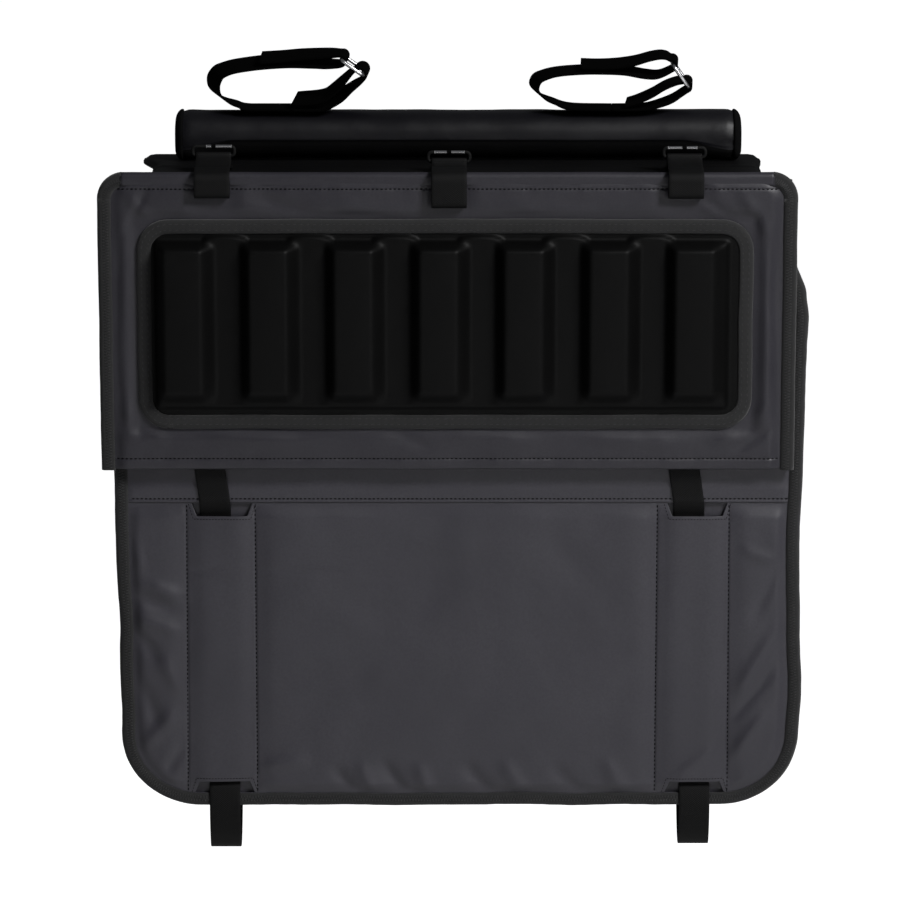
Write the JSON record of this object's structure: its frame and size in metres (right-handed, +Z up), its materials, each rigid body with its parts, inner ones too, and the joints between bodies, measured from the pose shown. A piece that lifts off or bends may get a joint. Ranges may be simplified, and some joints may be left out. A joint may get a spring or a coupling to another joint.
{
  "type": "tailgate bike pad",
  "caption": "Padded cloth pad that hangs over a pickup's tailgate, with a bolster and frame straps on top, a moulded ridged bumper and webbing ties, so that bikes can lean on it.",
  "frame": {"origin": "on the underside of the saddle, midway between its front and back edges, where it sits on the tailgate's top edge", "axes": "+X along the tailgate, -Y out of the pictured face, +Z up"},
  "size_m": [0.7181, 0.1888, 0.8227],
  "materials": {
    "tarpaulin": "matt coated cloth, charcoal",
    "lining": "brushed knit, black",
    "foam": "closed-cell foam sheet, dark grey",
    "eva": "compression-moulded foam, matt black",
    "binding": "woven tape, dark grey",
    "webbing": "woven webbing, matt black",
    "steel": "welded wire ring, nickel plated",
    "acetal": "moulded, black"
  },
  "bodies": {
    "root": {"saddle_lining": "lining", "saddle_foam": "foam", "saddle_top": "tarpaulin", "flap_face": "tarpaulin", "flap_foam": "foam", "flap_lining": "lining", "flap_binding": "binding", "bumper_moulding": "eva", "bumper_binding": "binding", "outer_panel_face": "tarpaulin", "outer_panel_yoke": "tarpaulin", "outer_panel_foam": "foam", "outer_panel_lining": "lining", "outer_panel_binding": "binding", "bolster_cover": "tarpaulin", "bolster_foam": "foam", "bolster_end_left": "tarpaulin", "bolster_end_right": "tarpaulin", "frame_strap_left": "webbing", "frame_strap_tab_left": "webbing", "frame_strap_ring_left": "steel", "frame_strap_right": "webbing", "frame_strap_tab_right": "webbing", "frame_strap_ring_right": "steel", "anchor_webbing_left": "webbing", "anchor_webbing_centre": "webbing", "anchor_webbing_right": "webbing", "anchor_ring_left": "steel", "anchor_ring_centre": "steel", "anchor_ring_right": "steel", "inner_flap": "lining", "inner_flap_binding": "binding", "tie_buckle_left": "acetal", "tie_buckle_right": "acetal", "buckle_webbing_left": "webbing", "buckle_webbing_right": "webbing", "tie_strap_left": "webbing", "tie_strap_right": "webbing"}
  },
  "joints": []
}
